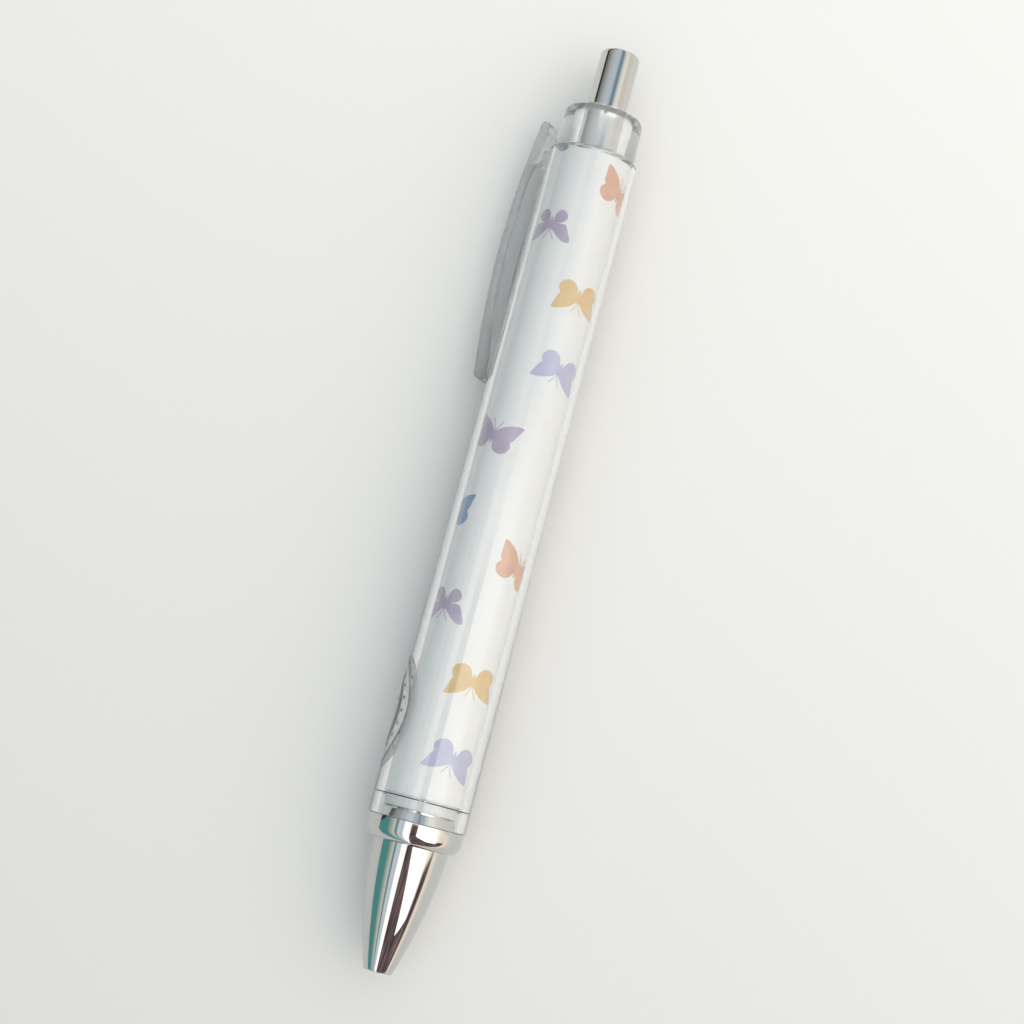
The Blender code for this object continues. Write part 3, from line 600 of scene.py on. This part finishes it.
def rolled(piece, radius, lift):
    """Roll a flat drawing round the pen: its plane is stood up, bent to a radius and laid on the axis."""
    only(piece)
    piece.rotation_euler = (0.5 * math.pi, 0.0, 0.0)
    piece.location = (0.0, -lift * MM, 0.0)
    bpy.ops.object.transform_apply(location=True, rotation=True, scale=True)
    heights = [vertex.co.z for vertex in piece.data.vertices]
    bend = piece.modifiers.new("roll", "SIMPLE_DEFORM")
    bend.deform_method = "BEND"
    bend.deform_axis = "X"
    bend.angle = (max(heights) - min(heights)) / (radius * MM)
    apply_all(piece)
    piece.rotation_euler = (-0.5 * math.pi, 0.0, 0.0)
    piece.location = on_pen(0.0, radius)
    return piece


def cut_in_columns(piece, width):
    """Cut a flat drawing across at every column, so that it can bend."""
    only(piece)
    highest = max(vertex.co.y for vertex in piece.data.vertices) / MM
    lowest = min(vertex.co.y for vertex in piece.data.vertices) / MM
    bpy.ops.object.mode_set(mode="EDIT")
    for index in range(math.ceil(lowest / width), math.floor(highest / width) + 1):
        bpy.ops.mesh.select_all(action="SELECT")
        bpy.ops.mesh.bisect(plane_co=(0.0, index * width * MM, 0.0), plane_no=(0.0, 1.0, 0.0))
    bpy.ops.object.mode_set(mode="OBJECT")


def clipped(piece, station, above):
    """Cut a flat drawing off at a station."""
    only(piece)
    bpy.ops.object.mode_set(mode="EDIT")
    bpy.ops.mesh.select_all(action="SELECT")
    bpy.ops.mesh.bisect(plane_co=(-station * MM, 0.0, 0.0), plane_no=(-1.0, 0.0, 0.0),
                        clear_outer=above, clear_inner=not above)
    bpy.ops.object.mode_set(mode="OBJECT")


def film(piece, thickness):
    """Give a bent sheet its thickness."""
    wall = piece.modifiers.new("thickness", "SOLIDIFY")
    wall.thickness = thickness * MM
    wall.offset = 0.0
    apply_all(piece)


def laid_round(name, outlines, radius, lift, thickness, low, high):
    """Flat outlines cut between two stations, rolled to a radius and given their thickness."""
    piece = joined([filled(name, [outline]) for outline in outlines])
    cut_in_columns(piece, COLUMN)
    clipped(piece, high, True)
    clipped(piece, low, False)
    rolled(piece, radius, lift)
    only(piece)
    bpy.ops.object.mode_set(mode="EDIT")
    close_up(1e-7)
    bpy.ops.object.mode_set(mode="OBJECT")
    film(piece, thickness)
    return settle(piece, name, 20.0)


def printed(colour):
    """All the butterflies of one colour, as a thin film of ink on the paper."""
    outlines = []
    for tint, kind, stretch, across, station, turn_deg in PRINT:
        for repeat in (-1, 0, 1):
            middle = station + repeat * REPEAT
            if tint == colour and PAPER_START - WING_SPAN < middle < PAPER_END + WING_SPAN:
                outlines += butterfly(kind, stretch, across + repeat * DRIFT, middle, turn_deg)
    return laid_round("butterflies_" + colour, outlines, PAPER_OUTER, INK_LIFT, INK_FILM,
                      PAPER_START, PAPER_END)


for tint, look in INKS.items():
    wear(printed(tint), look, "paper", "casing")


# ---- Round sticker ---------------------------------------------------------

STICKER_RADIUS = 8.5
STICKER_ROLL = 7.13            # just clear of the barrel under it
STICKER_FILM = 0.04
STICKER_INK = 0.01
STICKER_INK_LIFT = 0.035
STICKER_REACH = (20.0, 60.0)   # stations well past its two ends
RINGS = [(STICKER_RADIUS - 0.14, 0.14), (5.7, 0.8), (5.2, 0.15)]     # inner radius, width
DOTS = [(24, 7.15, 0.27, 12), (12, 3.4, 0.4, 16)]      # how many, on what radius, dot's radius, corners


def circle(across, along, radius, steps=32):
    """A round outline on the flat sheet, about a place given from the sticker's middle."""
    middle = STICKER_ROLL * LABEL_TURN + across
    return [(-(LABEL_STATION + along) + radius * math.cos(2.0 * math.pi * index / steps),
             middle + radius * math.sin(2.0 * math.pi * index / steps)) for index in range(steps)]


def ring_parts(radius, width, steps=72):
    """A thin ring as short flat strips, end to end."""
    strips = []
    for index in range(steps):
        corners = []
        outer = radius + width
        for reach, turn in ((radius, index), (outer, index), (outer, index + 1), (radius, index + 1)):
            angle = 2.0 * math.pi * turn / steps
            corners.append((-(LABEL_STATION + reach * math.cos(angle)),
                            STICKER_ROLL * LABEL_TURN + reach * math.sin(angle)))
        strips.append(corners)
    return strips


sticker = laid_round("round_sticker", [circle(0.0, 0.0, STICKER_RADIUS, 96)], STICKER_ROLL, 0.0,
                     STICKER_FILM, *STICKER_REACH)
wear(sticker, sticker_film(), "sticker", "casing", "round_label")

pattern = []
for inner, width in RINGS:
    pattern += ring_parts(inner, width)
for count, ring, radius, corners in DOTS:
    for dot in range(count):
        around = 2.0 * math.pi * dot / count
        pattern.append(circle(ring * math.sin(around), ring * math.cos(around), radius, corners))
sticker_print = laid_round("sticker_pattern", pattern, STICKER_ROLL, STICKER_INK_LIFT,
                           STICKER_INK, *STICKER_REACH)
wear(sticker_print, label_ink(), "sticker", "casing")


# ---- Clear head and clip ---------------------------------------------------

CLIP_MIDDLE = 106.7
CLIP_HALF = 20.3
CLIP_INNER_APEX = 8.98
CLIP_THICKNESS = 1.5
CLIP_WIDTH = 5.0
CLIP_BOW = 1.55
POST_FOOT = 4.6                # radius of the post's foot, inside the collar
POST_SHOULDER = 6.9
FOOT_RADIUS = 7.15             # the clip's foot, just clear of the barrel
FOOT_FLAT = 2.4
RAMP_LENGTH = 11.8
ARM_END = 116.8                # station where the arm starts to curve in to its root
ROOT = (121.0, 7.46)
ROOT_RADIUS = 7.3


def clip_inner(station):
    """Radius of the clip's inner face, a bow over its whole length."""
    return CLIP_INNER_APEX - CLIP_BOW * ((station - CLIP_MIDDLE) / CLIP_HALF) ** 2


def clip_outer(station):
    """Radius of the clip's outer face."""
    return clip_inner(station) + CLIP_THICKNESS


def clip_outline():
    """Side outline of the clip with its post into the collar, as (station, radius)."""
    post_low = COLLAR_START + 0.15
    post_high = CLIP_TOP - 2.2
    shoulder = post_high + 0.4
    tab = CLIP_TOP - 0.75
    crown = (CLIP_TOP, 0.5 * (clip_inner(tab) + clip_outer(tab)))
    inner_side = (tab, clip_inner(tab))
    outer_side = (tab, clip_outer(tab))
    outline = [(post_high, POST_FOOT), (post_high, POST_SHOULDER), (shoulder, clip_inner(shoulder)),
               inner_side]
    outline += arc(inner_side, crown, True, 6) + [crown] + arc(crown, outer_side, False, 6) + [outer_side]
    end_round = 0.5 * (clip_outer(CLIP_LOW) - FOOT_RADIUS)
    low = CLIP_LOW + end_round
    for index in range(1, 25):
        station = tab + (low - tab) * index / 24
        outline.append((station, clip_outer(station)))
    end = (CLIP_LOW, FOOT_RADIUS + end_round)
    outline += arc(outline[-1], end, True, 6) + [end]
    heel = (low, FOOT_RADIUS)
    outline += arc(end, heel, False, 6) + [heel, (low + FOOT_FLAT, FOOT_RADIUS)]
    ramp_top = CLIP_LOW + RAMP_LENGTH
    for index in range(17):
        station = ramp_top + (ARM_END - ramp_top) * index / 16
        outline.append((station, clip_inner(station)))
    outline += arc(outline[-1], ROOT, True, 5) + [ROOT]
    outline += [(post_low, ROOT_RADIUS), (post_low, POST_FOOT)]
    return outline


def head_with_clip():
    """The collar, its spigot and the clip as one clear moulding."""
    collar = turned("collar", [
        (HEAD_SPIGOT, BUTTON_HOLE), (HEAD_SPIGOT, SPIGOT_RADIUS, 0.15), (COLLAR_START, SPIGOT_RADIUS),
        (COLLAR_START, COLLAR_FOOT, 0.1), (COLLAR_END, COLLAR_TOP, 1.0), (COLLAR_END, BUTTON_HOLE, 0.15),
        (HEAD_SPIGOT, BUTTON_HOLE)])
    flat = [(-station, radius) for station, radius in clip_outline()]
    clip = filled("clip", [flat], CLIP_WIDTH)
    only(clip)
    bpy.ops.object.mode_set(mode="EDIT")
    close_up()
    bpy.ops.mesh.select_all(action="SELECT")
    bpy.ops.mesh.dissolve_limited(angle_limit=math.radians(0.1))
    bpy.ops.object.mode_set(mode="OBJECT")
    edges = clip.modifiers.new("edges", "BEVEL")
    edges.width = 0.62 * MM
    edges.segments = 4
    edges.limit_method = "ANGLE"
    edges.angle_limit = math.radians(50.0)
    apply_all(clip)
    clip.location = on_pen(0.0)
    clip.rotation_euler = (0.5 * math.pi - CLIP_TURN, 0.0, 0.0)
    only(clip)
    bpy.ops.object.transform_apply(location=True, rotation=True, scale=True)
    union = collar.modifiers.new("clip", "BOOLEAN")
    union.operation = "UNION"
    union.solver = "EXACT"
    union.object = clip
    apply_all(collar)
    bpy.data.objects.remove(clip, do_unlink=True)
    return settle(collar, "head_and_clip")


head = head_with_clip()
wear(head, HEAD_CLEAR, "clear_plastic", None, "head_cap", "pocket_clip")
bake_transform(head)


# ---- Return spring ---------------------------------------------------------


def spring_that_shortens():
    """A copy of the CAD spring, without its modifiers, as one clean mesh."""
    only(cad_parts["return_spring"])
    bpy.ops.object.duplicate()
    piece = bpy.context.object
    for modifier in list(piece.modifiers):
        piece.modifiers.remove(modifier)
    bpy.ops.object.mode_set(mode="EDIT")
    close_up(1e-7)
    bpy.ops.object.mode_set(mode="OBJECT")
    return settle(piece, "spring_coil", 40.0)


SPRING_STEEL = drawn_metal("spring_steel", "#CFCFCD", 0.15, 0.3)
spring = spring_that_shortens()
wear(spring, SPRING_STEEL, "spring_steel", "casing", "return_spring")
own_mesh(spring)


# ---- Finishes on the CAD's own pieces --------------------------------------

CAD_LOOKS = {
    "cam_sleeve": white_acetal(),
    "metal_point": drawn_metal("nickel_silver", "#DAD5C8", 0.12, 0.25),
    "writing_ball": drawn_metal("tungsten_carbide", "#8A8A8C", 0.2, 0.35),
    "gel_ink": gel_ink(),
    "ink_follower": follower_grease(),
}
CAD_LOOKS["thrust_cam"] = CAD_LOOKS["rotor_cam"] = CAD_LOOKS["tail_plug"] = CAD_LOOKS["cam_sleeve"]
CAD_LOOKS["point_holder"] = CAD_LOOKS["refill_tube"] = CAD_LOOKS["follower_float"] = MILKY
for node, look in CAD_LOOKS.items():
    for material_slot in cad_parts[node].material_slots:
        material_slot.material = look


# ---- Floor, light and camera -----------------------------------------------

# Painted shade: two tones of the table top, bright where the window light is strong and darker where it falls
# off
PAINTED_TABLE_FALLOFF = ("#F8F8F6", "#D8D9D9")


def floor():
    """A large pale table top, with the window light's falloff painted into its colour."""
    bpy.ops.object.select_all(action="DESELECT")
    bpy.ops.mesh.primitive_plane_add(size=3.0, location=(0.0, 0.0, cad_box[0][2]))
    piece = bpy.context.object
    settle(piece, "table_top")
    made, tree, shader, place = material("pale_table", "#ECEDEC", Roughness=0.7)
    # painted shade: the colour runs from the bright tone to the darker one across the table
    mapping = add(tree, "ShaderNodeMapping", {
        "Vector": place, "Rotation": (0.0, 0.0, math.radians(30.0)), "Scale": (4.0, 4.0, 4.0)})
    slope = add(tree, "ShaderNodeSeparateXYZ", {"Vector": mapping.outputs["Vector"]})
    share = add(tree, "ShaderNodeMapRange", {"Value": slope.outputs["X"], "From Min": -0.5, "From Max": 0.5})
    ramp = add(tree, "ShaderNodeValToRGB", {"Fac": share.outputs["Result"]})
    set_stops(ramp, [(0.0, linear(PAINTED_TABLE_FALLOFF[0])), (1.0, linear(PAINTED_TABLE_FALLOFF[1]))])
    tree.links.new(ramp.outputs["Color"], shader.inputs["Base Color"])
    piece.data.materials.append(made)


floor()

# What the chrome shows by the angle from overhead, towards +Y: angle, colour as mirrored, how much brighter
TIP_SIDE = [
    (-180, "#A2A4A3", 1.0), (-97, "#A2A4A3", 1.0), (-95, "#4A7F7C", 1.0), (-65, "#4A7F7C", 1.0),
    (-62, "#7E9089", 1.0), (-56, "#939D95", 1.0), (-51, "#B6B8B0", 1.0), (-47, "#B3B4AC", 1.0),
    (-45, "#5E7E87", 1.0), (-42, "#5E7E87", 1.0), (-38, "#BFC4CA", 1.0), (-31, "#B4BAC0", 1.0),
    (-26, "#BDC2C6", 1.0), (-24, "#F4F5F0", 1.2), (-10, "#F4F5F0", 1.2), (6, "#FFFDF4", 1.4),
    (46, "#FFFDF4", 1.4), (57, "#F6EEE3", 1.1), (66, "#DFD2C2", 1.05), (87, "#DCCFBF", 1.0),
    (95, "#BEB5AC", 1.0), (180, "#B8B4AE", 1.0),
]
BUTTON_SIDE = [
    (-180, "#A8A8A4", 1.0), (-106, "#A8A8A4", 1.0), (-99, "#33342F", 1.0), (-79, "#33342F", 1.0),
    (-73, "#6F6F6D", 1.0), (-60, "#8A8B89", 1.0), (-50, "#979996", 1.0), (-43, "#A4AAAD", 1.0),
    (-20, "#AFB7BE", 1.0), (-2, "#AAB2B8", 1.0), (7, "#6E8290", 1.0), (18, "#6E8290", 1.0),
    (27, "#B1B9BA", 1.0), (38, "#D3D3CA", 1.0), (50, "#DAD8CC", 1.0), (57, "#C9C0B5", 1.0),
    (76, "#C8BEB4", 1.0), (100, "#C7C1B9", 1.0), (180, "#C1BDB4", 1.0),
]
BRIGHTEST = 5.0
MIRRORED_SHARE = linear(CHROME_TINT)[0] * BRIGHTEST
CLOTH_TONES = [(0.35, "#3A3338"), (0.65, "#6E5C5B")]
WALL_TONE = "#E9EAE9"
# The light on matt surfaces, from the far side (-1) to the window's side (1): place, strength, colour
SOFT_LIGHT = [
    (-1.0, 0.42, "#EAFAFF"), (-0.5, 0.68, "#F0FAFF"), (0.0, 1.02, "#FFFFFF"), (0.4, 1.29, "#FFFBF6"),
    (1.0, 1.3, "#FFF8F0"),
]


def mirrored_room(tree, direction, parts):
    """The room as chrome mirrors it: long bands round the pen, and the maker's dark shape overhead."""
    lean = add(tree, "ShaderNodeMath", {0: parts["Y"], 1: parts["Z"]}, operation="ARCTAN2")
    share = add(tree, "ShaderNodeMath", {0: lean.outputs[0], 1: 0.5 / math.pi, 2: 0.5},
                operation="MULTIPLY_ADD")
    bands = []
    for tones in (BUTTON_SIDE, TIP_SIDE):
        ramp = add(tree, "ShaderNodeValToRGB", {"Fac": share.outputs[0]})
        set_stops(ramp, [(0.5 + angle / 360.0, [value * gain / MIRRORED_SHARE for value in linear(colour)])
                         for angle, colour, gain in tones])
        bands.append(ramp.outputs["Color"])

    height = add(tree, "ShaderNodeMath", {0: parts["Z"], 1: 0.02}, operation="MAXIMUM")
    along = add(tree, "ShaderNodeMath", {0: parts["X"], 1: height.outputs[0]}, operation="DIVIDE").outputs[0]
    aside = add(tree, "ShaderNodeMath", {0: parts["Y"], 1: height.outputs[0]}, operation="DIVIDE").outputs[0]
    # the maker leans over the table, a dark wedge that widens towards the tip up to this edge
    steep = add(tree, "ShaderNodeMath", {0: along, 1: 7.0, 2: -4.3}, operation="MULTIPLY_ADD")
    least = add(tree, "ShaderNodeMath", {0: along, 1: 0.12}, operation="MAXIMUM")
    edge = add(tree, "ShaderNodeMath", {0: least.outputs[0], 1: steep.outputs[0]}, operation="MAXIMUM")
    widest = add(tree, "ShaderNodeMath", {0: edge.outputs[0], 1: 1.75}, operation="MINIMUM")
    inside = add(tree, "ShaderNodeMath", {0: widest.outputs[0], 1: aside}, operation="SUBTRACT").outputs[0]
    fades = {}
    for name, value, low, high in (
            ("tip side", along, -0.3, -0.12), ("wedge edge", inside, -0.02, 0.03),
            ("wedge far side", aside, -0.19, -0.13), ("wedge end", along, -0.15, -0.05),
            ("arm near side", aside, 1.55, 1.9), ("arm far side", aside, 4.6, 3.6),
            ("arm end", along, 0.3, 0.5)):
        fades[name] = add(tree, "ShaderNodeMapRange", {"Value": value, "From Min": low, "From Max": high},
                          interpolation_type="SMOOTHSTEP").outputs["Result"]
    for name, first, second in (
            ("wedge", "wedge edge", "wedge far side"), ("wedge", "wedge", "wedge end"),
            ("arm", "arm near side", "arm far side"), ("arm", "arm", "arm end")):
        fades[name] = add(tree, "ShaderNodeMath", {0: fades[first], 1: fades[second]},
                          operation="MULTIPLY").outputs[0]
    dark = add(tree, "ShaderNodeMath", {0: fades["wedge"], 1: fades["arm"]}, operation="MAXIMUM")

    cloth = add(tree, "ShaderNodeTexNoise", {"Vector": direction, "Scale": 7.0, "Detail": 2.0})
    folds = add(tree, "ShaderNodeValToRGB", {"Fac": cloth.outputs["Fac"]})
    set_stops(folds, [(at, [value / MIRRORED_SHARE for value in linear(colour)])
                      for at, colour in CLOTH_TONES])
    sky = add(tree, "ShaderNodeMix", {0: fades["tip side"], 6: bands[0], 7: bands[1]}, data_type="RGBA")
    shade = add(tree, "ShaderNodeMix", {0: dark.outputs[0], 6: sky.outputs[2], 7: folds.outputs["Color"]},
                data_type="RGBA")
    return shade.outputs[2]


def softbox(tree, parts, through_plastic):
    """The light on matt surfaces: stronger from the window's side and from overhead."""
    sideways = add(tree, "ShaderNodeMath", {0: parts["Y"], 1: 0.5, 2: 0.5}, operation="MULTIPLY_ADD")
    ramp = add(tree, "ShaderNodeValToRGB", {"Fac": sideways.outputs[0]})
    set_stops(ramp, [(0.5 + 0.5 * side, [value * strength / BRIGHTEST for value in linear(colour)])
                     for side, strength, colour in SOFT_LIGHT])
    # clear plastic keeps some light from what lies behind it, and the softbox makes that up
    made_up = add(tree, "ShaderNodeMath", {0: through_plastic, 1: 0.56, 2: 1.0}, operation="MULTIPLY_ADD")
    overhead = add(tree, "ShaderNodeMath", {0: parts["Z"], 1: 0.48 * BRIGHTEST, 2: 0.68 * BRIGHTEST},
                   operation="MULTIPLY_ADD")
    strength = add(tree, "ShaderNodeMath", {0: made_up.outputs[0], 1: overhead.outputs[0]},
                   operation="MULTIPLY")
    return add(tree, "ShaderNodeBackground", {
        "Color": ramp.outputs["Color"], "Strength": strength.outputs[0]})


def seen_plainly(tree, ray):
    """How much of the plain wall a ray sees: all of it from the camera and straight through plastic."""
    mirrored_once = add(tree, "ShaderNodeMath", {0: ray["Glossy Depth"], 1: 0.5}, operation="GREATER_THAN")
    deep = add(tree, "ShaderNodeMath", {0: ray["Transmission Depth"], 1: 3.5}, operation="GREATER_THAN")
    lost = add(tree, "ShaderNodeMath", {0: mirrored_once.outputs[0], 1: deep.outputs[0]},
               operation="MULTIPLY")
    kept = add(tree, "ShaderNodeMath", {0: mirrored_once.outputs[0], 1: -0.4, 2: 1.0},
               operation="MULTIPLY_ADD")
    straight = add(tree, "ShaderNodeMath", {0: kept.outputs[0], 1: lost.outputs[0]},
                   operation="SUBTRACT", use_clamp=True)
    through = add(tree, "ShaderNodeMath", {0: ray["Is Transmission Ray"], 1: straight.outputs[0]},
                  operation="MULTIPLY")
    return add(tree, "ShaderNodeMath", {0: ray["Is Camera Ray"], 1: through.outputs[0]}, operation="MAXIMUM")


def surroundings():
    """A soft studio, by what the ray left last: the camera, a bright piece or a matt one."""
    world = bpy.data.worlds.new("studio")
    bpy.context.scene.world = world
    world.use_nodes = True
    tree = world.node_tree
    tree.nodes.clear()
    direction = add(tree, "ShaderNodeTexCoord").outputs["Generated"]
    parts = add(tree, "ShaderNodeSeparateXYZ", {"Vector": direction}).outputs
    ray = add(tree, "ShaderNodeLightPath").outputs
    room = mirrored_room(tree, direction, parts)
    mirrored = add(tree, "ShaderNodeBackground", {"Color": room, "Strength": BRIGHTEST})
    wall = add(tree, "ShaderNodeBackground", {"Color": (*linear(WALL_TONE), 1.0), "Strength": 1.0})
    lit = softbox(tree, parts, ray["Is Transmission Ray"])
    plain = seen_plainly(tree, ray)
    matt = add(tree, "ShaderNodeMath", {0: ray["Diffuse Depth"], 1: 0.5}, operation="GREATER_THAN")
    bright = add(tree, "ShaderNodeMixShader", {
        0: plain.outputs[0], 1: mirrored.outputs[0], 2: wall.outputs[0]})
    mixed = add(tree, "ShaderNodeMixShader", {0: matt.outputs[0], 1: bright.outputs[0], 2: lit.outputs[0]})
    add(tree, "ShaderNodeOutputWorld", {"Surface": mixed.outputs[0]})


surroundings()

# The camera looks down, 9 degrees off the vertical and rolled 15 degrees from the pen
VIEW_TILT = math.radians(9.0)
VIEW_ROLL = math.radians(14.854)
LENS = 68.55
CAMERA_PLACE = Vector((46.44, 3.41, 288.0)) * MM


def camera():
    """The camera, high over the pen's tip half."""
    data = bpy.data.cameras.new("camera")
    data.lens = LENS
    data.clip_start = 0.01
    piece = bpy.data.objects.new("camera", data)
    bpy.context.scene.collection.objects.link(piece)
    back = Vector((math.sin(VIEW_TILT), 0.0, math.cos(VIEW_TILT)))
    to_head = Vector((-math.cos(VIEW_TILT), 0.0, math.sin(VIEW_TILT)))
    across = Vector((0.0, 1.0, 0.0))
    right = math.sin(VIEW_ROLL) * to_head + math.cos(VIEW_ROLL) * across
    up = math.cos(VIEW_ROLL) * to_head - math.sin(VIEW_ROLL) * across
    turn = Matrix((right, up, back)).transposed().to_4x4()
    piece.matrix_world = Matrix.Translation(CAMERA_PLACE) @ turn
    bpy.context.scene.camera = piece


camera()
bpy.context.scene.view_settings.view_transform = "Standard"
